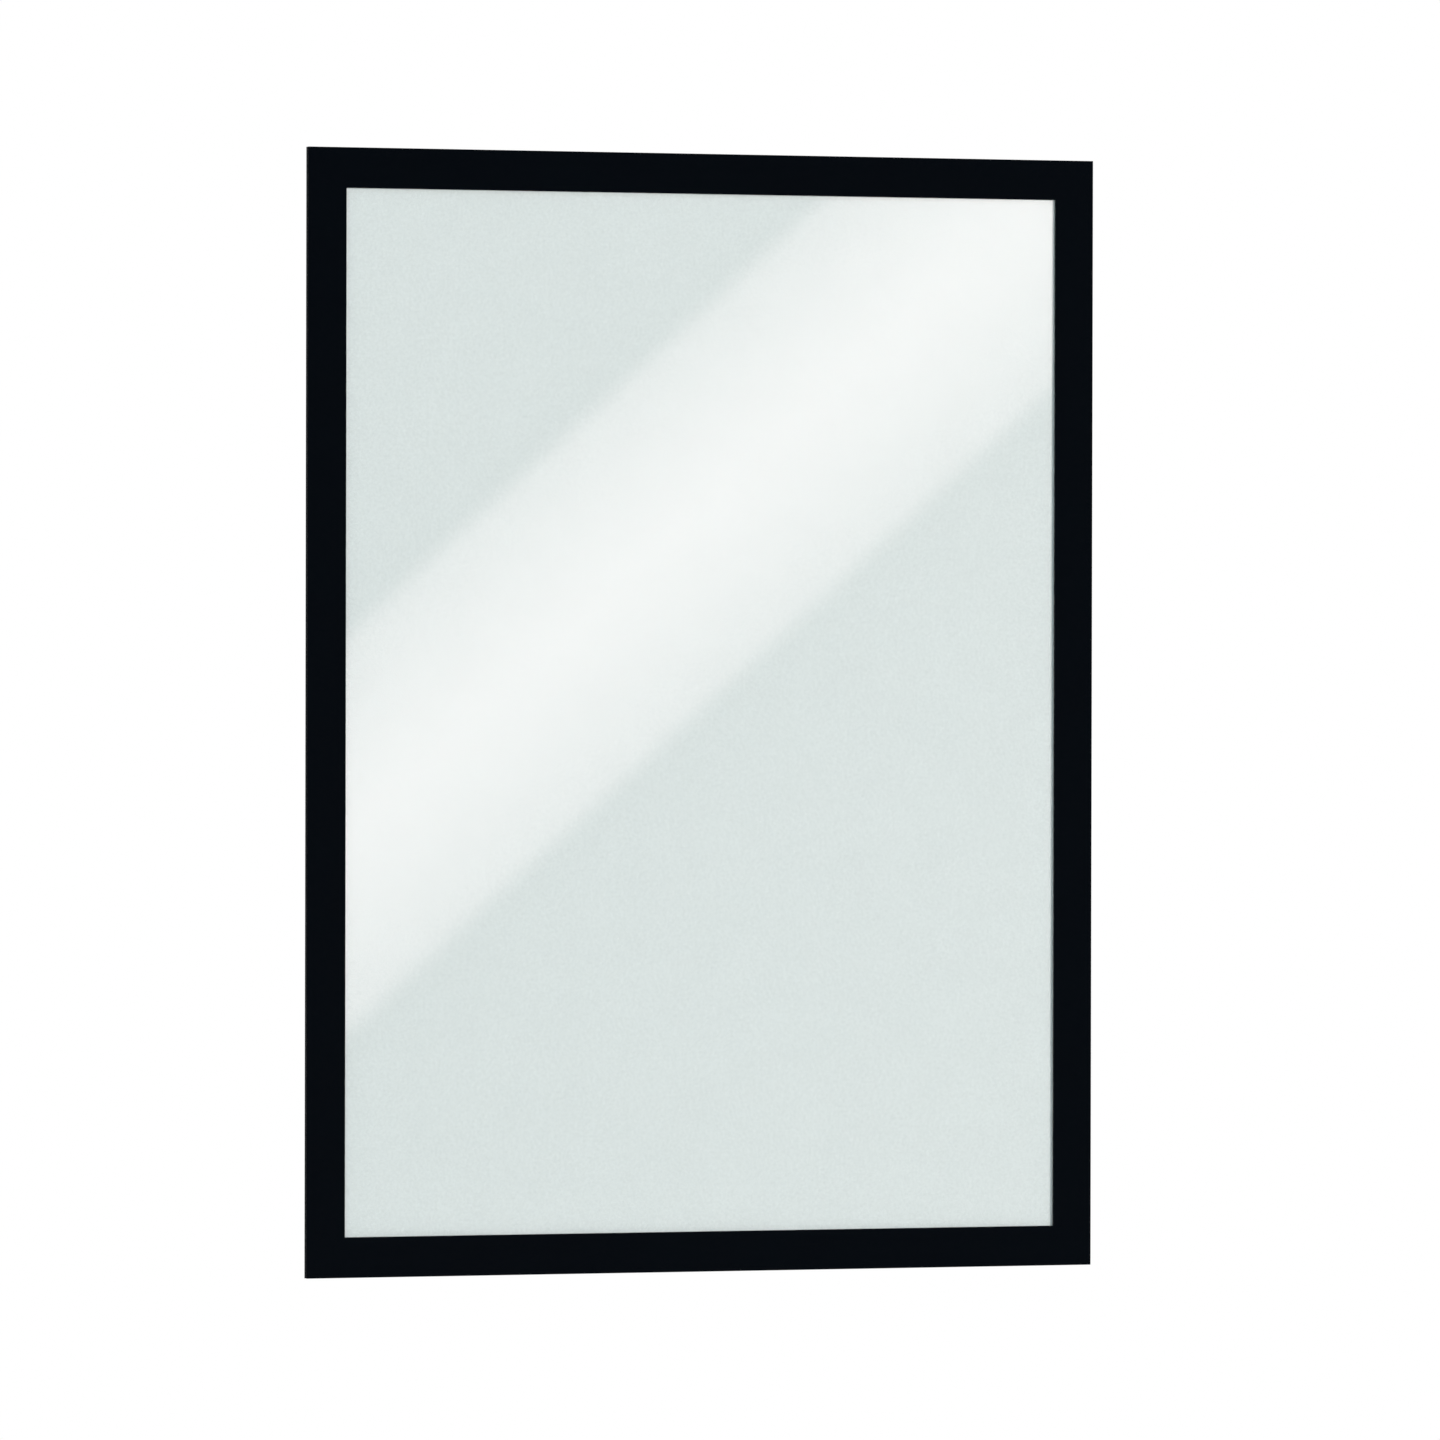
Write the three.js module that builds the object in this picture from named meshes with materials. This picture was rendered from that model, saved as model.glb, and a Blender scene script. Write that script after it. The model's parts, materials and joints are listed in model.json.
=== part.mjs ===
// Magnetic poster holder for one A3 sheet, hung on a steel surface.
//
// A thin front leaf (black facing, four flexible magnet strips and a clear window film) closes
// on a rear leaf (four keeper strips, a clear back film and four magnet strips that grip the
// wall). A folded film joins the two along the left edge, so the front leaf opens like a door
// and the sheet can be changed.
//
// Millimetres, +Z up, the front faces -Y. The origin is the centre of the closed holder.
import * as THREE from "three";

// ---- overall size
const WIDTH = 325; // over the hinge fold
const HEIGHT = 445;
const BORDER = 16; // width of the black face border, the same all round

// ---- layers, front to back
const FACING_T = 0.2; // black facing film
const FRONT_MAGNET_T = 0.8; // flexible magnet strip of the front leaf
const WINDOW_T = 0.25; // clear window film
const HINGE_T = 0.1; // hinge film, one layer
const FOLD_GAP = 0.06; // between the hinge film's two flaps
const KEEPER_T = 0.3; // keeper strip that the front magnets pull on
const BACK_T = 0.3; // clear back film
const WALL_MAGNET_T = 0.8; // magnet strip that grips the wall
const SHEET_T = 0.15; // insert sheet
const BOND = 0.02; // adhesive line between two bonded layers

// ---- outlines
const HINGE_ROOM = 0.4; // the leaves stop this far short of the fold's outer edge
const OVERHANG = 1.0; // the front leaf stands over the rear leaf at the right, for a fingernail
const EDGE_STEP = 0.1; // a strip's outer edge lies this far inside its film's
const FRONT_BUTT = 0.1; // between two front strips that meet at a corner
const REAR_BUTT = 0.4; // the same on the rear leaf, where the strips are laid by hand
const WINDOW_STEP = 0.5; // the window film stops this far inside the facing
const WALL_STRIP = 15; // width of a wall magnet strip
const SHEET_W = 297;
const SHEET_H = 420;
const SHEET_PLAY = 0.75; // round the sheet, inside the keeper strips
const FLAP = 13; // width of a hinge film flap
const FLAP_STEP = 0.05; // the hinge film stops this far short of the leaves' ends
const FOLD_OFFSET = 0.25; // the fold's axis lies this far outside the leaves' left edge

// ---- depths, measured back from the front face
const stack = {};
let at = 0;
function layer(name, thickness, after) {
  stack[name] = [at, at + thickness];
  at += thickness + after;
}
layer("facing", FACING_T, BOND);
layer("frontMagnet", FRONT_MAGNET_T, BOND);
layer("window", WINDOW_T, BOND);
layer("flapFront", HINGE_T, FOLD_GAP);
layer("flapRear", HINGE_T, BOND);
layer("keeper", KEEPER_T, BOND);
layer("back", BACK_T, BOND);
layer("wallMagnet", WALL_MAGNET_T, 0);
const DEPTH = at;
stack.sheet = [stack.back[0] - BOND - SHEET_T, stack.back[0] - BOND];
const y = (depth) => depth - DEPTH / 2; // depth from the front face to +Y

// ---- edges
const RIGHT = WIDTH / 2;
const LEFT = -WIDTH / 2 + HINGE_ROOM;
const TOP = HEIGHT / 2;
const WIN_X = WIDTH / 2 - BORDER;
const WIN_Z = HEIGHT / 2 - BORDER;
const REAR_RIGHT = RIGHT - OVERHANG;
const POCKET_X = SHEET_W / 2 + SHEET_PLAY;
const POCKET_Z = SHEET_H / 2 + SHEET_PLAY;
const FOLD_X = LEFT - FOLD_OFFSET;
const FOLD_DEPTH = (stack.flapFront[1] + stack.flapRear[0]) / 2;

// ---- materials
const skin = (colour, roughness, opacity = 1) =>
  new THREE.MeshStandardMaterial({
    color: colour,
    roughness,
    metalness: 0,
    opacity,
    transparent: opacity < 1,
  });
const black = skin(0x090d10, 0.6);
const ferrite = skin(0x1b1a19, 0.55);
const keeperGrey = skin(0x23252a, 0.5);
const clear = skin(0xe8f0ef, 0.06, 0.2);
const clearBack = skin(0xe2ebea, 0.18, 0.45);
const paper = skin(0xdae3e2, 0.85);
const hingeBlack = skin(0x0d1114, 0.4);

// A flat layer with the given outline, between two depths. The outline lies in X and Z.
function sheetOf(outline, [front, back], hole) {
  const shape = new THREE.Shape(outline.map(([x, z]) => new THREE.Vector2(x, z)));
  if (hole)
    shape.holes.push(new THREE.Path(hole.map(([x, z]) => new THREE.Vector2(x, z))));
  const g = new THREE.ExtrudeGeometry(shape, {
    depth: back - front,
    bevelEnabled: false,
  });
  // The shape is drawn in X and Y and raised in Z: turn it up to stand in X and Z.
  g.rotateX(Math.PI / 2);
  g.translate(0, y(back), 0);
  return g;
}
const rectangle = (x0, x1, z0, z1) => [
  [x0, z0],
  [x1, z0],
  [x1, z1],
  [x0, z1],
];

function mesh(name, geometry, material) {
  const m = new THREE.Mesh(geometry, material);
  m.name = name;
  return m;
}

// Four strips round a border: top and bottom run the full width, the sides stand between them.
function border(prefix, depths, outer, inner, butt, material) {
  const { left, right, top } = outer;
  const sideTop = inner.z - butt;
  const strips = {
    top: rectangle(left, right, inner.z, top),
    bottom: rectangle(left, right, -top, -inner.z),
    left: rectangle(left, inner.left, -sideTop, sideTop),
    right: rectangle(inner.right, right, -sideTop, sideTop),
  };
  return Object.entries(strips).map(([side, outline]) =>
    mesh(prefix + "_" + side, sheetOf(outline, depths), material),
  );
}

// ---- front leaf
const frontLeaf = new THREE.Group();
frontLeaf.add(
  mesh(
    "front_facing",
    sheetOf(
      rectangle(LEFT, RIGHT, -TOP, TOP),
      stack.facing,
      rectangle(-WIN_X, WIN_X, -WIN_Z, WIN_Z),
    ),
    black,
  ),
  ...border(
    "front_magnet",
    stack.frontMagnet,
    { left: LEFT + EDGE_STEP, right: RIGHT - EDGE_STEP, top: TOP - EDGE_STEP },
    { left: -WIN_X, right: WIN_X, z: WIN_Z },
    FRONT_BUTT,
    ferrite,
  ),
  mesh(
    "window_film",
    sheetOf(
      rectangle(
        LEFT + WINDOW_STEP,
        RIGHT - WINDOW_STEP,
        -TOP + WINDOW_STEP,
        TOP - WINDOW_STEP,
      ),
      stack.window,
    ),
    clear,
  ),
);

// ---- rear leaf
const rearLeaf = new THREE.Group();
const rearOuter = {
  left: LEFT + EDGE_STEP,
  right: REAR_RIGHT - EDGE_STEP,
  top: TOP - EDGE_STEP,
};
const sheetFoot = -POCKET_Z + 0.05; // the sheet stands on the bottom keeper strip
rearLeaf.add(
  ...border(
    "keeper_strip",
    stack.keeper,
    rearOuter,
    { left: -POCKET_X, right: POCKET_X, z: POCKET_Z },
    REAR_BUTT,
    keeperGrey,
  ),
  mesh(
    "back_film",
    sheetOf(rectangle(LEFT, REAR_RIGHT, -TOP, TOP), stack.back),
    clearBack,
  ),
  ...border(
    "wall_magnet",
    stack.wallMagnet,
    rearOuter,
    {
      left: rearOuter.left + WALL_STRIP,
      right: rearOuter.right - WALL_STRIP,
      z: rearOuter.top - WALL_STRIP,
    },
    REAR_BUTT,
    ferrite,
  ),
  mesh(
    "insert_sheet",
    sheetOf(
      rectangle(-SHEET_W / 2, SHEET_W / 2, sheetFoot, sheetFoot + SHEET_H),
      stack.sheet,
    ),
    paper,
  ),
);

// ---- hinge film: one strip folded back on itself, front flap on the window film and rear flap
// on the left keeper strip, with a round fold outside the leaves' left edge
function hingeFilm() {
  const turns = 10;
  const outer = HINGE_T + FOLD_GAP / 2;
  const inner = FOLD_GAP / 2;
  const points = [];
  const arc = (r, i) => {
    const a = Math.PI / 2 + (Math.PI * i) / turns;
    return [FOLD_X + r * Math.cos(a), r * Math.sin(a)];
  };
  points.push([FOLD_X + FLAP, outer]);
  for (let i = 0; i <= turns; i++) points.push(arc(outer, i));
  points.push([FOLD_X + FLAP, -outer], [FOLD_X + FLAP, -inner]);
  for (let i = turns; i >= 0; i--) points.push(arc(inner, i));
  points.push([FOLD_X + FLAP, inner]);
  const shape = new THREE.Shape(points.map(([px, py]) => new THREE.Vector2(px, py)));
  const length = 2 * (TOP - FLAP_STEP);
  const g = new THREE.ExtrudeGeometry(shape, { depth: length, bevelEnabled: false });
  g.translate(0, y(FOLD_DEPTH), -length / 2);
  return g;
}
rearLeaf.add(mesh("hinge_film", hingeFilm(), hingeBlack));

const holder = new THREE.Group();
holder.add(frontLeaf, rearLeaf);
export default holder;
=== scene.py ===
# Magnetic poster holder for one A3 sheet, hung flat: a black bordered front leaf with a clear
# window, folding open on a film hinge at the left, over a rear leaf that grips a steel wall.
# Metres, +Z up, the front faces -Y.
import json
import math

import bmesh
import bpy
from mathutils import Matrix, Vector


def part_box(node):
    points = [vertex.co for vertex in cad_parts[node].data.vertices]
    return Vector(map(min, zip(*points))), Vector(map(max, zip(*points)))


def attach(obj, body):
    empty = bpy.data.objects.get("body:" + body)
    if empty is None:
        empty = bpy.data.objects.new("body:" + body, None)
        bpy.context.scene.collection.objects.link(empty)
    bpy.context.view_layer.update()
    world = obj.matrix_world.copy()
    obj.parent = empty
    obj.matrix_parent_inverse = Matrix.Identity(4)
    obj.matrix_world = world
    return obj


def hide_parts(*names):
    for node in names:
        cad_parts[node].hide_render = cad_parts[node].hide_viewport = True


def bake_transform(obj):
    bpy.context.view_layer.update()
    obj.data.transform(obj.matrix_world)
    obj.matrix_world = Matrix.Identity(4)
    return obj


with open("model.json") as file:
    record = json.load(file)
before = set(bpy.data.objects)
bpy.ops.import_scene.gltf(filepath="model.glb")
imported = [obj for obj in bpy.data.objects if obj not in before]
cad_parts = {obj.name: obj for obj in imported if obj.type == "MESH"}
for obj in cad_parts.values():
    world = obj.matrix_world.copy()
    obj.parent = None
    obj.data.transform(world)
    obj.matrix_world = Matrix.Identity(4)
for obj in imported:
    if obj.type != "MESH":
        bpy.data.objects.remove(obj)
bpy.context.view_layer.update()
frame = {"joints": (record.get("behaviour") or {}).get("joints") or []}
MM = 0.001
scene = bpy.context.scene

# ---------------------------------------------------------------- camera
# A long lens, seen from the holder's left and a touch above its middle.
PICTURE = 1440
LENS_PX = 8678.9
YAW, PITCH, ROLL = (math.radians(a) for a in (15.9153, -0.3835, 0.1167))
EYE = Vector((-0.94132, -3.32586, 0.02034))

_ahead = Vector(
    (
        math.sin(YAW) * math.cos(PITCH),
        math.cos(YAW) * math.cos(PITCH),
        math.sin(PITCH),
    )
)
_level = Vector((math.cos(YAW), -math.sin(YAW), 0))
_upright = _level.cross(_ahead)
_right = math.cos(ROLL) * _level + math.sin(ROLL) * _upright
_up = -math.sin(ROLL) * _level + math.cos(ROLL) * _upright

camera_data = bpy.data.cameras.new("camera")
camera_data.sensor_fit = "HORIZONTAL"
camera_data.sensor_width = 36.0
camera_data.lens = LENS_PX * 36.0 / PICTURE
camera_data.clip_start, camera_data.clip_end = 0.05, 100.0
camera = bpy.data.objects.new("camera", camera_data)
scene.collection.objects.link(camera)
camera.matrix_world = Matrix(
    (
        (_right.x, _up.x, -_ahead.x, EYE.x),
        (_right.y, _up.y, -_ahead.y, EYE.y),
        (_right.z, _up.z, -_ahead.z, EYE.z),
        (0, 0, 0, 1),
    )
)
scene.camera = camera


def sight(px, py):
    """The direction in which the camera sees a point of the picture."""
    return (
        _ahead
        + (px - PICTURE / 2) / LENS_PX * _right
        - (py - PICTURE / 2) / LENS_PX * _up
    ).normalized()


scene.view_settings.view_transform = "Standard"
scene.view_settings.look = "None"
scene.view_settings.exposure = 0.0
scene.view_settings.gamma = 1.0


# ---------------------------------------------------------------- node trees
def node(tree, kind, settings=None, **inputs):
    """A new node. An input is a number, a colour, or another node's output to link from; its
    name is written with _ for a space."""
    made = tree.nodes.new(kind)
    for key, value in (settings or {}).items():
        setattr(made, key, value)
    for key, value in inputs.items():
        name = key.replace("_", " ")
        socket = next(
            s for s in made.inputs if s.enabled and s.name.lower() == name.lower()
        )
        if isinstance(value, bpy.types.NodeSocket):
            tree.links.new(value, socket)
        else:
            socket.default_value = value
    return made


def new_material(name):
    material = bpy.data.materials.new(name)
    material.use_nodes = True
    tree = material.node_tree
    tree.nodes.clear()
    return material, tree


def surface(tree, shader):
    out = tree.nodes.new("ShaderNodeOutputMaterial")
    tree.links.new(shader, out.inputs["Surface"])


def place(tree, scale=(1, 1, 1), turn=(0, 0, 0)):
    """Position on the piece, in metres, stretched as asked."""
    at = tree.nodes.new("ShaderNodeTexCoord").outputs["Object"]
    if tuple(scale) == (1, 1, 1) and tuple(turn) == (0, 0, 0):
        return at
    return node(tree, "ShaderNodeMapping", Vector=at, Scale=scale, Rotation=turn).outputs[
        "Vector"
    ]


def noise(tree, at, scale, detail=2.0, roughness=0.5, distortion=0.0):
    return node(
        tree,
        "ShaderNodeTexNoise",
        Vector=at,
        Scale=scale,
        Detail=detail,
        Roughness=roughness,
        Distortion=distortion,
    ).outputs["Fac"]


def remap(tree, value, a, b, c, d, kind="LINEAR"):
    return node(
        tree,
        "ShaderNodeMapRange",
        {"interpolation_type": kind},
        Value=value,
        From_Min=a,
        From_Max=b,
        To_Min=c,
        To_Max=d,
    ).outputs["Result"]


def math_of(tree, operation, a, b=0.0):
    made = tree.nodes.new("ShaderNodeMath")
    made.operation = operation
    for socket, value in zip(made.inputs, (a, b)):
        if isinstance(value, bpy.types.NodeSocket):
            tree.links.new(value, socket)
        else:
            socket.default_value = value
    return made.outputs["Value"]


def colours(tree, value, *stops):
    """A colour ramp: stops are (position, (r, g, b))."""
    ramp = tree.nodes.new("ShaderNodeValToRGB")
    tree.links.new(value, ramp.inputs["Fac"])
    elements = ramp.color_ramp.elements
    while len(elements) < len(stops):
        elements.new(0.5)
    for element, (position, colour) in zip(elements, stops):
        element.position = position
        element.color = (*colour, 1)
    return ramp.outputs["Color"]


def blend_of(tree, amount, a, b):
    made = tree.nodes.new("ShaderNodeMix")
    made.data_type = "RGBA"
    made.blend_type = "MIX"
    for socket, value in (
        (made.inputs[0], amount),
        (made.inputs[6], a),
        (made.inputs[7], b),
    ):
        if isinstance(value, bpy.types.NodeSocket):
            tree.links.new(value, socket)
        elif socket is made.inputs[0]:
            socket.default_value = value
        else:
            socket.default_value = (*value, 1)
    return made.outputs[2]


def bump(tree, height, distance, strength=1.0, under=None):
    inputs = {"Height": height, "Distance": distance, "Strength": strength}
    if under is not None:
        inputs["Normal"] = under
    return node(tree, "ShaderNodeBump", **inputs).outputs["Normal"]


# ---------------------------------------------------------------- finishes
def facing_black():
    """Matt black film: nearly neutral, a breath of blue, with a very fine even emboss."""
    m, t = new_material("facing_black")
    at = place(t)
    grain = noise(t, at, 3200, 2.0, 0.6)
    cloud = noise(t, at, 45, 3.0, 0.55)
    colour = colours(
        t,
        math_of(t, "ADD", math_of(t, "MULTIPLY", grain, 0.5), math_of(t, "MULTIPLY", cloud, 0.5)),
        (0.30, (0.0003, 0.0013, 0.0027)),
        (0.70, (0.0005, 0.0019, 0.0035)),
    )
    rough = math_of(
        t,
        "ADD",
        remap(t, grain, 0.3, 0.7, 0.50, 0.58),
        remap(t, cloud, 0.3, 0.7, -0.02, 0.02),
    )
    p = node(t, "ShaderNodeBsdfPrincipled", Base_Color=colour, Roughness=rough)
    p.inputs["Specular IOR Level"].default_value = 0.058
    t.links.new(bump(t, grain, 0.03 * MM), p.inputs["Normal"])
    surface(t, p.outputs["BSDF"])
    return m


def facing_cut():
    """The die-cut edge of the facing, a little greyer and smoother than its face."""
    m, t = new_material("facing_cut_edge")
    at = place(t, (1, 1, 1))
    streak = noise(t, place(t, (900, 6000, 900)), 1.0, 2.0, 0.5)
    colour = colours(
        t, streak, (0.3, (0.006, 0.0075, 0.0085)), (0.75, (0.012, 0.014, 0.015))
    )
    rough = remap(t, noise(t, at, 2500), 0.3, 0.7, 0.45, 0.58)
    p = node(t, "ShaderNodeBsdfPrincipled", Base_Color=colour, Roughness=rough)
    p.inputs["Specular IOR Level"].default_value = 0.25
    surface(t, p.outputs["BSDF"])
    return m


def magnet_face(along):
    """Flexible magnet: ferrite-filled rubber, dull brown-black, with fine calender lines along
    the strip and a little pale bloom."""
    m, t = new_material("magnet_face_" + along)
    at = place(t)
    squeezed = {"x": (12, 1400, 1400), "z": (1400, 1400, 12)}[along]
    lines = noise(t, place(t, squeezed), 1.0, 3.0, 0.6)
    speck = noise(t, at, 2600, 2.0, 0.7)
    cloud = noise(t, at, 70, 4.0, 0.6, 0.4)
    dark = colours(
        t, lines, (0.25, (0.0135, 0.0125, 0.0118)), (0.75, (0.026, 0.0245, 0.0232))
    )
    bloom = remap(t, cloud, 0.48, 0.78, 0.0, 0.35)
    colour = blend_of(t, bloom, dark, (0.040, 0.038, 0.036))
    rough = math_of(
        t,
        "ADD",
        remap(t, speck, 0.3, 0.7, 0.44, 0.60),
        remap(t, cloud, 0.35, 0.7, -0.05, 0.07),
    )
    p = node(t, "ShaderNodeBsdfPrincipled", Base_Color=colour, Roughness=rough)
    p.inputs["Specular IOR Level"].default_value = 0.35
    fine = bump(t, speck, 0.014 * MM)
    t.links.new(bump(t, lines, 0.02 * MM, under=fine), p.inputs["Normal"])
    surface(t, p.outputs["BSDF"])
    return m


def magnet_cut():
    """The slit edge of a magnet strip: dull, with drag marks from the knife."""
    m, t = new_material("magnet_cut_edge")
    drag = noise(t, place(t, (260, 5200, 260)), 1.0, 3.0, 0.6)
    colour = colours(
        t, drag, (0.3, (0.011, 0.0105, 0.010)), (0.75, (0.024, 0.0232, 0.0225))
    )
    rough = remap(t, drag, 0.3, 0.7, 0.46, 0.62)
    p = node(t, "ShaderNodeBsdfPrincipled", Base_Color=colour, Roughness=rough)
    p.inputs["Specular IOR Level"].default_value = 0.28
    t.links.new(bump(t, drag, 0.008 * MM), p.inputs["Normal"])
    surface(t, p.outputs["BSDF"])
    return m


def magnet_burnished_shaded():
    """The die-cut edge round the window: burnished by the tool, so it shines at a low angle."""
    m, t = new_material("magnet_burnished_edge")
    drag = noise(t, place(t, (260, 5200, 260)), 1.0, 3.0, 0.6)
    # Painted shade: these colours lean bluer than the other cut edges. The cool tint stands in for
    # the shadow along the window's inner edge; the low-angle shine comes from the shader's gloss and
    # coat.
    colour = colours(
        t, drag, (0.3, (0.012, 0.015, 0.018)), (0.75, (0.028, 0.034, 0.040))
    )
    rough = remap(t, drag, 0.3, 0.7, 0.16, 0.26)
    p = node(t, "ShaderNodeBsdfPrincipled", Base_Color=colour, Roughness=rough)
    p.inputs["IOR"].default_value = 1.75
    p.inputs["Coat Weight"].default_value = 1.0
    p.inputs["Coat Roughness"].default_value = 0.12
    t.links.new(bump(t, drag, 0.006 * MM), p.inputs["Normal"])
    surface(t, p.outputs["BSDF"])
    return m


def keeper_face(along):
    """Iron-filled rubber: cooler grey than the magnets, satin, with tiny bright filings."""
    m, t = new_material("keeper_face_" + along)
    at = place(t)
    squeezed = {"x": (9, 900, 900), "z": (900, 900, 9)}[along]
    lines = noise(t, place(t, squeezed), 1.0, 3.0, 0.55)
    cells = node(
        t, "ShaderNodeTexVoronoi", {"feature": "F1"}, Vector=at, Scale=2200.0
    ).outputs["Distance"]
    filings = remap(t, cells, 0.10, 0.22, 1.0, 0.0)
    cloud = noise(t, at, 60, 4.0, 0.6, 0.3)
    base = colours(
        t, lines, (0.25, (0.024, 0.025, 0.028)), (0.75, (0.040, 0.042, 0.046))
    )
    colour = blend_of(
        t, math_of(t, "MULTIPLY", filings, 0.45), base, (0.105, 0.108, 0.113)
    )
    rough = math_of(
        t,
        "ADD",
        remap(t, cloud, 0.3, 0.7, 0.36, 0.50),
        math_of(t, "MULTIPLY", filings, -0.12),
    )
    p = node(t, "ShaderNodeBsdfPrincipled", Base_Color=colour, Roughness=rough)
    p.inputs["Specular IOR Level"].default_value = 0.45
    fine = bump(t, noise(t, at, 2400, 2.0, 0.6), 0.010 * MM)
    t.links.new(bump(t, lines, 0.015 * MM, under=fine), p.inputs["Normal"])
    surface(t, p.outputs["BSDF"])
    return m


def keeper_cut():
    """The slit edge of a keeper strip, dull like the magnets'."""
    m, t = new_material("keeper_cut_edge")
    drag = noise(t, place(t, (300, 4000, 300)), 1.0, 3.0, 0.6)
    colour = colours(
        t, drag, (0.3, (0.020, 0.021, 0.024)), (0.75, (0.045, 0.047, 0.052))
    )
    rough = remap(t, drag, 0.3, 0.7, 0.48, 0.64)
    p = node(t, "ShaderNodeBsdfPrincipled", Base_Color=colour, Roughness=rough)
    p.inputs["Specular IOR Level"].default_value = 0.25
    t.links.new(bump(t, drag, 0.01 * MM), p.inputs["Normal"])
    surface(t, p.outputs["BSDF"])
    return m


def film_shine(tree):
    """How much a face of a thin clear film mirrors, the same from inside as from outside."""
    outside = node(tree, "ShaderNodeFresnel", IOR=1.49).outputs["Fac"]
    inside = node(tree, "ShaderNodeFresnel", IOR=1 / 1.49).outputs["Fac"]
    back = tree.nodes.new("ShaderNodeNewGeometry").outputs["Backfacing"]
    return math_of(
        tree,
        "ADD",
        math_of(tree, "MULTIPLY", outside, math_of(tree, "SUBTRACT", 1.0, back)),
        math_of(tree, "MULTIPLY", inside, back),
    )


def window_clear():
    """Clear polished film: it lets the sheet show and mirrors what faces it, more at a low
    angle, with a trace of haze."""
    m, t = new_material("window_clear")
    at = place(t)
    soft = noise(t, at, 55, 3.0, 0.5)
    rough = remap(t, soft, 0.3, 0.7, 0.012, 0.024)
    through = node(t, "ShaderNodeBsdfTransparent", Color=(0.982, 0.992, 0.990, 1))
    haze = node(t, "ShaderNodeBsdfDiffuse", Color=(0.80, 0.86, 0.86, 1))
    body = node(
        t, "ShaderNodeMixShader", Fac=remap(t, soft, 0.3, 0.7, 0.006, 0.012)
    )
    t.links.new(through.outputs["BSDF"], body.inputs[1])
    t.links.new(haze.outputs["BSDF"], body.inputs[2])
    gloss = node(
        t, "ShaderNodeBsdfGlossy", {"distribution": "GGX"}, Color=(1, 1, 1, 1), Roughness=rough
    )
    mix = node(t, "ShaderNodeMixShader", Fac=film_shine(t))
    t.links.new(body.outputs["Shader"], mix.inputs[1])
    t.links.new(gloss.outputs["BSDF"], mix.inputs[2])
    surface(t, mix.outputs["Shader"])
    return m


def back_clear():
    """The rear leaf's film: clear but hazier, with faint rubbing from the wall."""
    m, t = new_material("back_clear")
    at = place(t)
    cloud = noise(t, at, 160, 3.0, 0.5)
    rub = noise(t, place(t, (20, 600, 240), (0, 0.5, 0)), 1.0, 3.0, 0.65)
    hazy = math_of(
        t,
        "ADD",
        remap(t, cloud, 0.3, 0.7, 0.076, 0.090),
        remap(t, rub, 0.62, 0.80, 0.0, 0.02),
    )
    through = node(t, "ShaderNodeBsdfTransparent", Color=(0.982, 0.988, 0.986, 1))
    haze = node(t, "ShaderNodeBsdfDiffuse", Color=(0.80, 0.83, 0.82, 1))
    body = node(t, "ShaderNodeMixShader", Fac=hazy)
    t.links.new(through.outputs["BSDF"], body.inputs[1])
    t.links.new(haze.outputs["BSDF"], body.inputs[2])
    gloss = node(
        t,
        "ShaderNodeBsdfGlossy",
        {"distribution": "GGX"},
        Color=(1, 1, 1, 1),
        Roughness=remap(t, rub, 0.4, 0.75, 0.10, 0.24),
    )
    mix = node(t, "ShaderNodeMixShader", Fac=film_shine(t))
    t.links.new(body.outputs["Shader"], mix.inputs[1])
    t.links.new(gloss.outputs["BSDF"], mix.inputs[2])
    surface(t, mix.outputs["Shader"])
    return m


def hinge_black():
    """Black film with a sand-fine emboss, paler where the fold has stretched it."""
    m, t = new_material("hinge_black")
    at = place(t)
    grain = noise(t, at, 2600, 2.0, 0.6)
    cloud = noise(t, at, 60, 3.0, 0.5)
    base = colours(
        t, cloud, (0.3, (0.0040, 0.0052, 0.0062)), (0.7, (0.0072, 0.0086, 0.0098))
    )
    x = node(t, "ShaderNodeSeparateXYZ", Vector=at).outputs["X"]
    from_fold = math_of(t, "ABSOLUTE", math_of(t, "SUBTRACT", x, FOLD_X))
    crease = remap(t, from_fold, 0.10 * MM, 0.75 * MM, 1.0, 0.0, "SMOOTHSTEP")
    broken = math_of(
        t,
        "MULTIPLY",
        crease,
        remap(t, noise(t, place(t, (300, 300, 90)), 1.0, 3.0, 0.6), 0.3, 0.65, 0.25, 0.75),
    )
    colour = blend_of(t, broken, base, (0.060, 0.064, 0.067))
    rough = remap(t, grain, 0.3, 0.7, 0.34, 0.46)
    p = node(t, "ShaderNodeBsdfPrincipled", Base_Color=colour, Roughness=rough)
    p.inputs["Specular IOR Level"].default_value = 0.32
    t.links.new(bump(t, grain, 0.025 * MM), p.inputs["Normal"])
    surface(t, p.outputs["BSDF"])
    return m


def sheet_paper():
    """Blank uncoated sheet, pale grey with a breath of green, faint formation and fibres."""
    m, t = new_material("sheet_paper")
    at = place(t)
    speck = noise(t, at, 950, 2.0, 0.6)
    fibre = math_of(
        t,
        "ADD",
        noise(t, place(t, (420, 420, 3400), (0, 0.42, 0)), 1.0, 2.0, 0.5),
        noise(t, place(t, (3400, 420, 420), (0, 0.3, 0)), 1.0, 2.0, 0.5),
    )
    cloud = noise(t, at, 110, 3.0, 0.5)
    mixed = math_of(
        t,
        "ADD",
        math_of(t, "MULTIPLY", speck, 0.62),
        math_of(
            t, "ADD", math_of(t, "MULTIPLY", fibre, 0.14), math_of(t, "MULTIPLY", cloud, 0.10)
        ),
    )
    colour = colours(
        t, mixed, (0.30, (0.742, 0.776, 0.768)), (0.70, (0.858, 0.893, 0.885))
    )
    rough = remap(t, fibre, 0.7, 1.3, 0.82, 0.92)
    p = node(t, "ShaderNodeBsdfPrincipled", Base_Color=colour, Roughness=rough)
    p.inputs["Specular IOR Level"].default_value = 0.2
    t.links.new(bump(t, mixed, 0.03 * MM), p.inputs["Normal"])
    surface(t, p.outputs["BSDF"])
    return m


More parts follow.
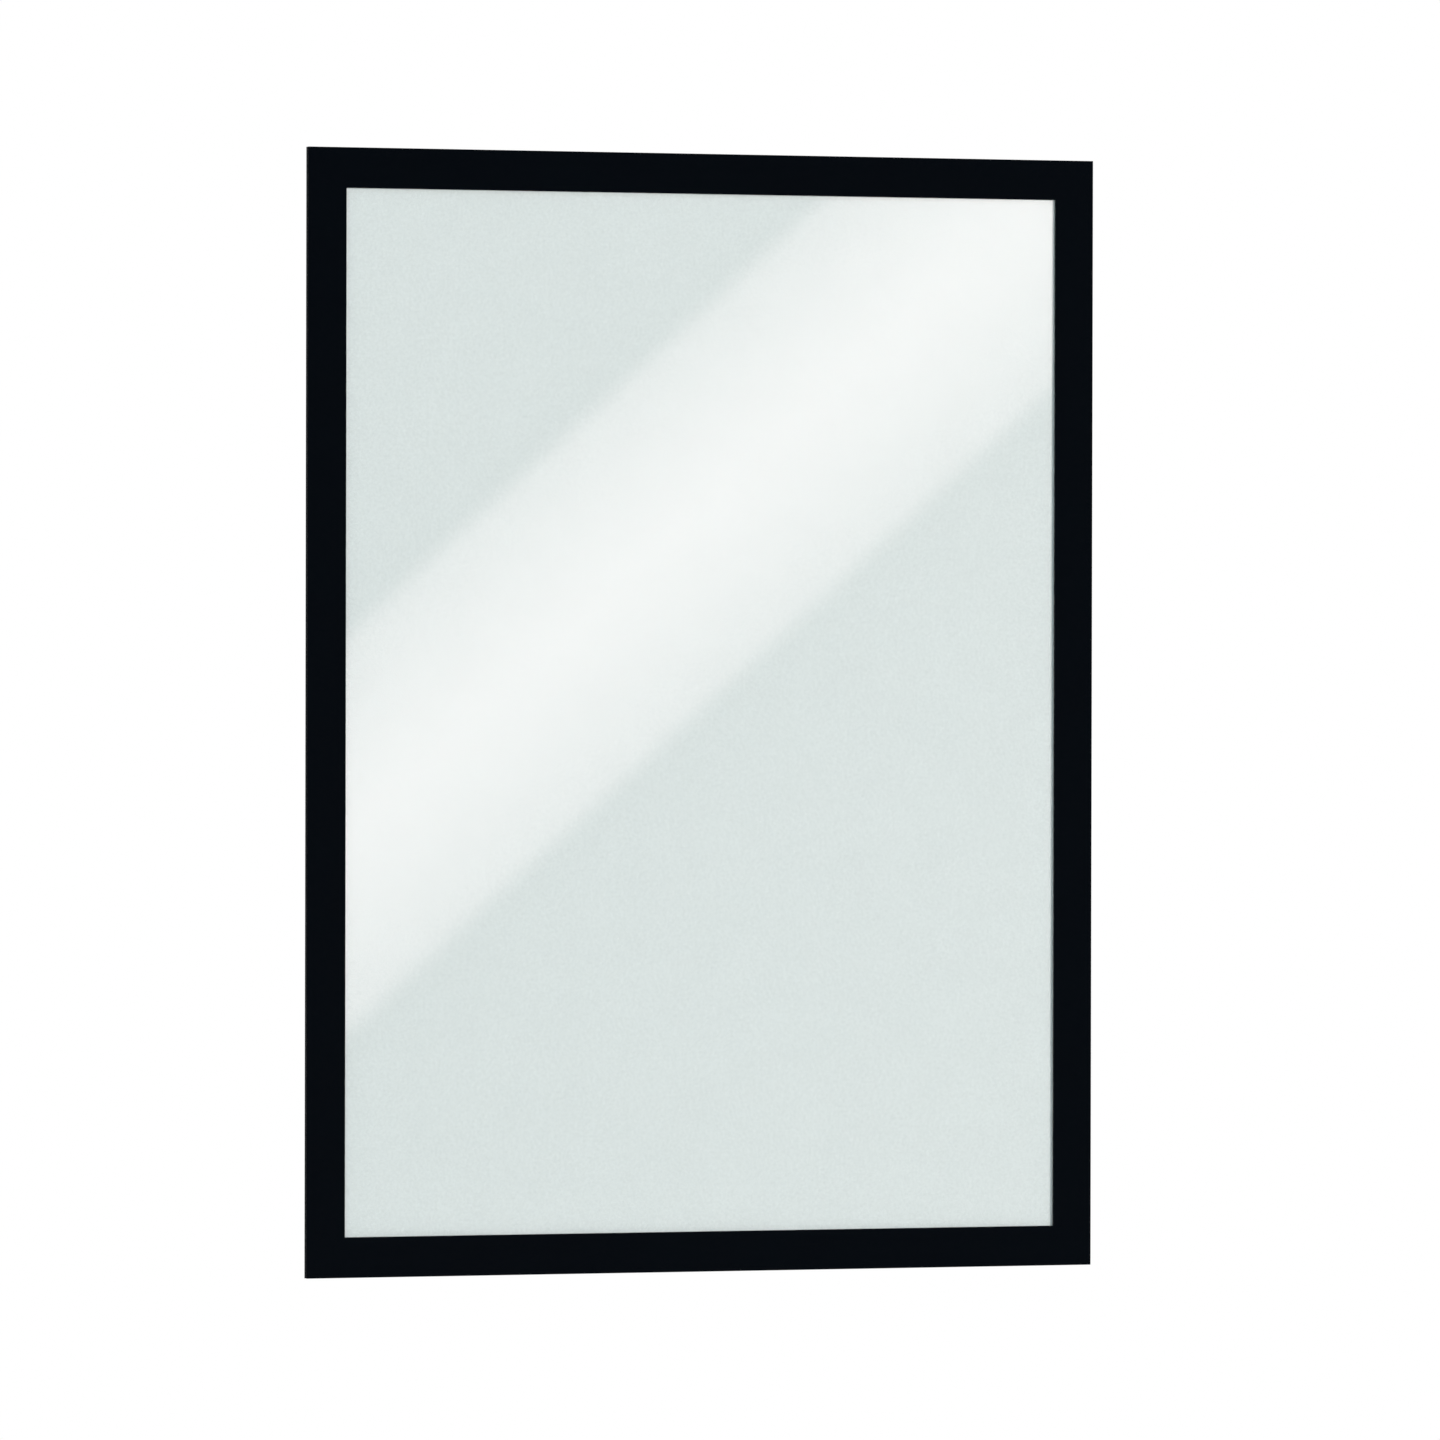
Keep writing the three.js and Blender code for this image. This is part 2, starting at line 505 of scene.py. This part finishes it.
# ---------------------------------------------------------------- shapes
def loop_points(rect, r, inset, nx, nz, k, wobble=0.0, seed=0.0):
    """A rounded rectangle in X and Z, drawn in from rect by inset, with nx and nz steps along
    its sides and k in each corner. wobble lets a hand-slit edge wander inwards."""
    x0, x1, z0, z1 = rect
    rr = r - inset
    arcs = []
    for cx, cz, start in (
        (x1 - r, z0 + r, -90),
        (x1 - r, z1 - r, 0),
        (x0 + r, z1 - r, 90),
        (x0 + r, z0 + r, 180),
    ):
        arcs.append(
            [
                (
                    cx + rr * math.cos(math.radians(start + 90 * i / k)),
                    cz + rr * math.sin(math.radians(start + 90 * i / k)),
                )
                for i in range(k + 1)
            ]
        )
    points = []
    for side in range(4):
        points += arcs[side]
        a, b = arcs[side][-1], arcs[(side + 1) % 4][0]
        n = nz if side % 2 == 0 else nx
        ix, iz = ((-1, 0), (0, -1), (1, 0), (0, 1))[side]
        for j in range(1, n):
            f = j / n
            x, z = a[0] + (b[0] - a[0]) * f, a[1] + (b[1] - a[1]) * f
            s = (z if side % 2 == 0 else x) / MM
            w = 0.5 + 0.28 * math.sin(0.061 * s + seed + side) + 0.22 * math.sin(
                0.23 * s + 2.1 * seed + 1.7 * side
            )
            w *= wobble * min(1.0, 8 * f, 8 * (1 - f))
            points.append((x + ix * w, z + iz * w))
    return points


def profile(y0, y1, edge, seg):
    """(inset, y) from the front face round the front edge, down the wall and round the back."""
    front = [
        (
            edge * (1 - math.sin(math.pi / 2 * i / seg)),
            y0 + edge * (1 - math.cos(math.pi / 2 * i / seg)),
        )
        for i in range(seg + 1)
    ]
    return front + [(d, y0 + y1 - y) for d, y in reversed(front)]


def finish_mesh(name, bm, body, node_name, materials):
    bmesh.ops.recalc_face_normals(bm, faces=bm.faces)
    mesh = bpy.data.meshes.new(name)
    bm.to_mesh(mesh)
    bm.free()
    for m in materials:
        mesh.materials.append(m)
    made = bpy.data.objects.new(name, mesh)
    scene.collection.objects.link(made)
    if body:
        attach(made, body)
    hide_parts(node_name)
    return made


def bridge(bm, a, b, material=0, smooth=True):
    n = len(a)
    for i in range(n):
        f = bm.faces.new((a[i], a[(i + 1) % n], b[(i + 1) % n], b[i]))
        f.material_index = material
        f.smooth = smooth


def cap(bm, loop, rect, y, nx, nz, k=4):
    """Closes a flat face with an even grid of quads inside its rounded outline."""
    x0, x1, z0, z1 = rect
    d = min(2 * MM, (x1 - x0) / 6, (z1 - z0) / 6)
    grid = [
        [
            bm.verts.new(
                (x0 + d + (x1 - x0 - 2 * d) * i / nx, y, z0 + d + (z1 - z0 - 2 * d) * j / nz)
            )
            for j in range(nz + 1)
        ]
        for i in range(nx + 1)
    ]
    for i in range(nx):
        for j in range(nz):
            bm.faces.new((grid[i][j], grid[i + 1][j], grid[i + 1][j + 1], grid[i][j + 1]))
    rows = (
        [grid[nx][j] for j in range(nz + 1)],
        [grid[nx - i][nz] for i in range(nx + 1)],
        [grid[0][nz - j] for j in range(nz + 1)],
        [grid[i][0] for i in range(nx + 1)],
    )
    at = 0
    for row in rows:
        for i in range(k):
            bm.faces.new((loop[at + i], loop[at + i + 1], row[0]))
        at += k
        for j in range(len(row) - 1):
            bm.faces.new((loop[at + j], loop[(at + j + 1) % len(loop)], row[j + 1], row[j]))
        at += len(row) - 1


def slab(
    node_name,
    name,
    body,
    materials,
    corner=0.3 * MM,
    edge=0.06 * MM,
    step=6 * MM,
    wobble=0.0,
    seed=0.0,
    seg=3,
    inward=None,
):
    """One flat piece with rounded corners and softened edges, the size of its solid. The wall
    on the side that inward points to takes the third material."""
    lo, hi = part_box(node_name)
    rect = (lo.x, hi.x, lo.z, hi.z)
    nx = max(2, round((hi.x - lo.x) / step))
    nz = max(2, round((hi.z - lo.z) / step))
    bm = bmesh.new()
    rings = []
    for inset, y in profile(lo.y, hi.y, edge, seg):
        rings.append(
            [
                bm.verts.new((x, y, z))
                for x, z in loop_points(rect, corner, inset, nx, nz, 4, wobble, seed)
            ]
        )
    cut = 1 if len(materials) > 1 else 0
    for i in range(len(rings) - 1):
        wall = seg - 1 <= i <= len(rings) - 1 - seg
        bridge(bm, rings[i], rings[i + 1], cut if wall else 0)
    cap(bm, rings[0], rect, lo.y, nx, nz)
    cap(bm, rings[-1], rect, hi.y, nx, nz)
    if inward:
        reach = inward[0] * (hi.x - lo.x) / 2 + inward[1] * (hi.z - lo.z) / 2
        for f in bm.faces:
            at = f.calc_center_median() - (lo + hi) / 2
            if f.material_index == cut and at.x * inward[0] + at.z * inward[1] > abs(reach) - corner:
                f.material_index = 2
    return finish_mesh(name, bm, body, node_name, materials)


def ring(node_name, name, body, materials, hole, corner, edge, step, seg=3):
    """A flat border with one opening, the size of its solid."""
    lo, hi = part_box(node_name)
    outer = (lo.x, hi.x, lo.z, hi.z)
    nx = max(2, round((hi.x - lo.x) / step))
    nz = max(2, round((hi.z - lo.z) / step))
    bm = bmesh.new()
    out, inn = [], []
    for inset, y in profile(lo.y, hi.y, edge, seg):
        out.append(
            [
                bm.verts.new((x, y, z))
                for x, z in loop_points(outer, corner, inset, nx, nz, 4)
            ]
        )
        inn.append(
            [
                bm.verts.new((x, y, z))
                for x, z in loop_points(hole, corner, -inset, nx, nz, 4)
            ]
        )
    for rings in (out, inn):
        for i in range(len(rings) - 1):
            wall = seg - 1 <= i <= len(rings) - 1 - seg
            bridge(bm, rings[i], rings[i + 1], 1 if wall else 0)
    bridge(bm, out[0], inn[0], 0, False)
    bridge(bm, out[-1], inn[-1], 0, False)
    return finish_mesh(name, bm, body, node_name, materials)


def folded_film(node_name, name, materials):
    """The hinge film: one strip folded back on itself, its fold round the hinge's axis."""
    lo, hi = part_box(node_name)
    outer = (hi.y - lo.y) / 2
    inner = 0.03 * MM
    mid = (lo.y + hi.y) / 2
    flap = [i / 12 for i in range(13)]
    turns = 24
    outside, inside = [], []
    for f in flap:
        x = hi.x + (FOLD_X - hi.x) * f
        outside.append((x, mid - outer))
        inside.append((x, mid - inner))
    for i in range(1, turns):
        a = math.pi * i / turns
        outside.append((FOLD_X - outer * math.sin(a), mid - outer * math.cos(a)))
        inside.append((FOLD_X - inner * math.sin(a), mid - inner * math.cos(a)))
    for f in flap:
        x = FOLD_X + (hi.x - FOLD_X) * f
        outside.append((x, mid + outer))
        inside.append((x, mid + inner))
    section = outside + inside[::-1]
    n = len(section)
    steps = 44
    bm = bmesh.new()
    rows = [
        [
            bm.verts.new((x, y, lo.z + (hi.z - lo.z) * j / steps))
            for x, y in section
        ]
        for j in range(steps + 1)
    ]
    for j in range(steps):
        bridge(bm, rows[j], rows[j + 1])
    half = len(outside)
    for row in (rows[0], rows[-1]):
        for i in range(half - 1):
            bm.faces.new((row[i], row[i + 1], row[n - 2 - i], row[n - 1 - i]))
    made = finish_mesh(name, bm, None, node_name, materials)
    made.data.set_sharp_from_angle(angle=math.radians(40))
    return made


# ---------------------------------------------------------------- the holder
hinge = frame["joints"][0]
FOLD_X, FOLD_Y = hinge["pos_m"][0], hinge["pos_m"][1]

FACING, FACING_CUT = facing_black(), facing_cut()
MAGNET = {"x": magnet_face("x"), "z": magnet_face("z")}
MAGNET_CUT, MAGNET_BURNISHED_SHADED = magnet_cut(), magnet_burnished_shaded()
KEEPER = {"x": keeper_face("x"), "z": keeper_face("z")}
KEEPER_CUT = keeper_cut()
ALONG = {"top": "x", "bottom": "x", "left": "z", "right": "z"}
INWARD = {"top": (0, -1), "bottom": (0, 1), "left": (1, 0), "right": (-1, 0)}

side_l, side_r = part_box("front_magnet_left"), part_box("front_magnet_right")
side_t, side_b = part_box("front_magnet_top"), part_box("front_magnet_bottom")
WINDOW = (side_l[1].x, side_r[0].x, side_b[1].z, side_t[0].z)

ring(
    "front_facing",
    "facing_film_ring",
    "front_leaf",
    [FACING, FACING_CUT],
    WINDOW,
    0.22 * MM,
    0.05 * MM,
    5 * MM,
)
for number, (side, along) in enumerate(ALONG.items()):
    slab(
        f"front_magnet_{side}",
        f"front_magnet_{side}_strip",
        "front_leaf",
        [MAGNET[along], MAGNET_CUT, MAGNET_BURNISHED_SHADED],
        corner=0.15 * MM,
        edge=0.04 * MM,
        seed=1.0 + number,
        inward=INWARD[side],
    )
    slab(
        f"keeper_strip_{side}",
        f"keeper_{side}_strip",
        "rear_leaf",
        [KEEPER[along], KEEPER_CUT],
        corner=0.4 * MM,
        edge=0.06 * MM,
        wobble=0.06 * MM,
        seed=6.0 + number,
    )
    slab(
        f"wall_magnet_{side}",
        f"wall_magnet_{side}_strip",
        "rear_leaf",
        [MAGNET[along], MAGNET_CUT],
        corner=0.5 * MM,
        edge=0.10 * MM,
        wobble=0.08 * MM,
        seed=11.0 + number,
    )
slab(
    "window_film",
    "window_film_sheet",
    "front_leaf",
    [window_clear()],
    corner=0.6 * MM,
    edge=0.04 * MM,
    step=12 * MM,
)
slab(
    "back_film",
    "back_film_sheet",
    "rear_leaf",
    [back_clear()],
    corner=0.8 * MM,
    edge=0.05 * MM,
    step=12 * MM,
)
slab(
    "insert_sheet",
    "insert_sheet_paper",
    "rear_leaf",
    [sheet_paper()],
    corner=0.12 * MM,
    edge=0.03 * MM,
    step=12 * MM,
)
fold = folded_film("hinge_film", "hinge_film_fold", [hinge_black()])
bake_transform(fold)


# ---------------------------------------------------------------- stage and light
def direction(azimuth, elevation):
    a, e = math.radians(azimuth), math.radians(elevation)
    return Vector(
        (math.sin(a) * math.cos(e), -math.cos(a) * math.cos(e), math.sin(e))
    )


def softbox(name, azimuth, elevation, distance, size, watts, colour=(1, 1, 1)):
    data = bpy.data.lights.new(name, "AREA")
    data.shape = "SQUARE"
    data.size = size
    data.energy = watts
    data.color = colour
    lamp = bpy.data.objects.new(name, data)
    scene.collection.objects.link(lamp)
    out = direction(azimuth, elevation)
    lamp.location = out * distance
    lamp.rotation_mode = "QUATERNION"
    lamp.rotation_quaternion = (-out).to_track_quat("-Z", "Y")
    lamp.visible_camera = False
    return lamp


# The main light stands in front, a little to the right, and is kept out of the mirror image.
main = softbox("softbox_front", 22, 4, 4.6, 1.25, 128, (1.0, 0.930, 0.906))
main.visible_glossy = False
# The fill is close to the line of sight, where its shadows hide behind the border.
fill = softbox("softbox_fill", -16, 5, 4.6, 1.6, 52, (0.80, 0.960, 1.0))
fill.visible_glossy = False
softbox("softbox_left", -62, 25, 4.6, 2.4, 14)
softbox("softbox_back_left", -140, 30, 4.6, 2.4, 138)
softbox("softbox_back_right", 145, 25, 4.6, 2.4, 120)


def strip_glow(strength):
    """Light that steps up at a strip's two edges and swells to its middle line."""
    m, t = new_material("strip_glow")
    across = node(
        t, "ShaderNodeAttribute", {"attribute_name": "across"}
    ).outputs["Fac"]
    from_edge = math_of(
        t,
        "SUBTRACT",
        0.5,
        math_of(t, "ABSOLUTE", math_of(t, "SUBTRACT", across, 0.5)),
    )
    step = remap(t, from_edge, -0.047, 0.055, 0.0, 0.46, "SMOOTHSTEP")
    inward = math_of(t, "MAXIMUM", from_edge, 0.0)
    swell = math_of(t, "SINE", math_of(t, "MULTIPLY", inward, math.pi))
    rise = math_of(
        t, "ADD", math_of(t, "MULTIPLY", inward, 0.54), math_of(t, "MULTIPLY", swell, 0.27)
    )
    level = math_of(t, "ADD", step, rise)
    glow = node(
        t,
        "ShaderNodeEmission",
        Color=(1.0, 0.80, 0.80, 1),
        Strength=math_of(t, "MULTIPLY", level, strength),
    )
    surface(t, glow.outputs["Emission"])
    return m


def strip_light(name, first, last, lights=True):
    """A slanting strip of light in front and to the right, where the window mirrors it as one
    bright diagonal band. Its outline is the band's, carried along the mirrored lines of sight.
    Its far ends show only as mirror images."""
    plane_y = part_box("window_film")[0].y
    middle = sight(720, 720)
    hit = EYE + middle * ((plane_y - EYE.y) / middle.y)
    axis = Vector((middle.x, -middle.y, middle.z))
    centre = hit + axis * 1.3

    def carried(px, py):
        d = sight(px, py)
        p = EYE + d * ((plane_y - EYE.y) / d.y)
        m = Vector((d.x, -d.y, d.z))
        return p + m * ((centre - p).dot(axis) / m.dot(axis))

    slope = -0.915
    run = Vector((1, slope)).normalized()
    side = Vector((-slope, 1)).normalized()  # down and to the right in the picture
    start = Vector((360, 622))  # on the band's upper edge
    width, spare = 296.0, 30.0
    bm = bmesh.new()
    across_layer = bm.verts.layers.float.new("across")
    rows = []
    for i in range(21):
        along = first + (last - first) * i / 20
        row = []
        for j in range(25):
            s = -spare + (width + 2 * spare) * j / 24
            p = start + run * along + side * s
            v = bm.verts.new(carried(p.x, p.y))
            v[across_layer] = s / width
            row.append(v)
        rows.append(row)
    for i in range(20):
        for j in range(24):
            bm.faces.new((rows[i][j], rows[i + 1][j], rows[i + 1][j + 1], rows[i][j + 1]))
    mesh = bpy.data.meshes.new(name)
    bm.to_mesh(mesh)
    bm.free()
    lamp = bpy.data.objects.new(name, mesh)
    scene.collection.objects.link(lamp)
    mesh.materials.append(strip_glow(2.92))
    lamp.visible_camera = False
    lamp.visible_diffuse = lights
    lamp.visible_shadow = False


strip_light("strip_light", -420, 1080)
strip_light("strip_light_low_end", -950, -420, False)
strip_light("strip_light_high_end", 1080, 2160, False)


def side_strip(name, azimuth, elevation, distance, length, width, tilt, strength):
    """Another slanting strip, seen only as a mirror image, for the views from the sides and
    the back."""
    out = direction(azimuth, elevation)
    right = out.cross(Vector((0, 0, 1))).normalized()
    up = right.cross(out)
    a = math.radians(tilt)
    along = math.cos(a) * right + math.sin(a) * up
    over = -math.sin(a) * right + math.cos(a) * up
    bm = bmesh.new()
    layer = bm.verts.layers.float.new("across")
    rows = []
    for i in range(9):
        row = []
        for j in range(25):
            s = -0.1 + 1.2 * j / 24
            v = bm.verts.new(
                out * distance
                + along * length * (i / 8 - 0.5)
                + over * width * (s - 0.5)
            )
            v[layer] = s
            row.append(v)
        rows.append(row)
    for i in range(8):
        for j in range(24):
            bm.faces.new((rows[i][j], rows[i + 1][j], rows[i + 1][j + 1], rows[i][j + 1]))
    mesh = bpy.data.meshes.new(name)
    bm.to_mesh(mesh)
    bm.free()
    mesh.materials.append(strip_glow(strength))
    lamp = bpy.data.objects.new(name, mesh)
    scene.collection.objects.link(lamp)
    lamp.visible_camera = False
    lamp.visible_diffuse = False
    lamp.visible_shadow = False


side_strip("strip_light_near_left", -19, -8, 2.0, 2.9, 0.25, 42, 2.5)
side_strip("strip_light_left", -38, -14, 2.0, 2.5, 0.25, 42, 2.3)
side_strip("strip_light_right", 40, -14, 2.0, 2.5, 0.25, -42, 2.3)
side_strip("strip_light_far_left", -62, -12, 2.0, 2.5, 0.25, 42, 1.25)
side_strip("strip_light_far_right", 63, -12, 2.0, 2.5, 0.25, -42, 1.25)
side_strip("strip_light_back_left", -148, -17, 2.0, 2.3, 0.26, 42, 2.2)
side_strip("strip_light_back_right", 148, -17, 2.0, 2.3, 0.26, -42, 2.2)


def floor():
    """A plain pale floor, well below the wall-hung holder, running out into white."""
    bm = bmesh.new()
    bmesh.ops.create_circle(bm, cap_ends=True, segments=128, radius=14.0)
    bmesh.ops.translate(bm, verts=bm.verts, vec=(0, 0, -1.45))
    mesh = bpy.data.meshes.new("floor")
    bm.to_mesh(mesh)
    bm.free()
    made = bpy.data.objects.new("floor", mesh)
    scene.collection.objects.link(made)
    m, t = new_material("floor_pale")
    at = place(t)
    far = node(
        t,
        "ShaderNodeVectorMath",
        {"operation": "LENGTH"},
        Vector=node(t, "ShaderNodeVectorMath", {"operation": "MULTIPLY"}).outputs[
            "Vector"
        ],
    )
    flat = far.inputs[0].links[0].from_node
    t.links.new(at, flat.inputs[0])
    flat.inputs[1].default_value = (1, 1, 0)
    away = remap(t, far.outputs["Value"], 2.0, 10.0, 0.0, 1.0, "SMOOTHSTEP")
    matt = node(t, "ShaderNodeBsdfDiffuse", Color=(0.42, 0.42, 0.42, 1))
    # Seen straight, it is evened out by a light of its own and runs out into white.
    even = node(t, "ShaderNodeEmission", Color=(0.94, 0.95, 0.95, 1), Strength=1.0)
    near = node(t, "ShaderNodeMixShader", Fac=0.85)
    t.links.new(matt.outputs["BSDF"], near.inputs[1])
    t.links.new(even.outputs["Emission"], near.inputs[2])
    white = node(t, "ShaderNodeEmission", Color=(1, 1, 1, 1), Strength=1.0)
    seen = node(t, "ShaderNodeMixShader", Fac=away)
    t.links.new(near.outputs["Shader"], seen.inputs[1])
    t.links.new(white.outputs["Emission"], seen.inputs[2])
    # Mirrored, it is dimmed, as by a black cloth laid in front of the holder.
    path = t.nodes.new("ShaderNodeLightPath")
    cloth = node(t, "ShaderNodeBsdfDiffuse", Color=(0.05, 0.05, 0.05, 1))
    dim = node(
        t,
        "ShaderNodeMixShader",
        Fac=math_of(t, "MULTIPLY", path.outputs["Is Glossy Ray"], 0.6),
    )
    t.links.new(matt.outputs["BSDF"], dim.inputs[1])
    t.links.new(cloth.outputs["BSDF"], dim.inputs[2])
    both = node(t, "ShaderNodeMixShader", Fac=path.outputs["Is Camera Ray"])
    t.links.new(dim.outputs["Shader"], both.inputs[1])
    t.links.new(seen.outputs["Shader"], both.inputs[2])
    surface(t, both.outputs["Shader"])
    mesh.materials.append(m)


floor()


def studio():
    """White all round to look at; as light, a soft bright ceiling over dim walls."""
    world = bpy.data.worlds.new("studio")
    scene.world = world
    world.use_nodes = True
    t = world.node_tree
    t.nodes.clear()
    seen = node(t, "ShaderNodeBackground", Color=(1, 1, 1, 1), Strength=1.0)
    toward = t.nodes.new("ShaderNodeTexCoord").outputs["Generated"]
    height = node(t, "ShaderNodeSeparateXYZ", Vector=toward).outputs["Z"]
    ceiling = remap(t, height, 0.35, 0.85, 0.05, 0.40, "SMOOTHSTEP")
    lit = node(t, "ShaderNodeBackground", Color=(0.80, 0.92, 1.0, 1), Strength=ceiling)
    path = t.nodes.new("ShaderNodeLightPath")
    mix = node(t, "ShaderNodeMixShader", Fac=path.outputs["Is Camera Ray"])
    t.links.new(lit.outputs["Background"], mix.inputs[1])
    t.links.new(seen.outputs["Background"], mix.inputs[2])
    out = t.nodes.new("ShaderNodeOutputWorld")
    t.links.new(mix.outputs["Shader"], out.inputs["Surface"])


studio()
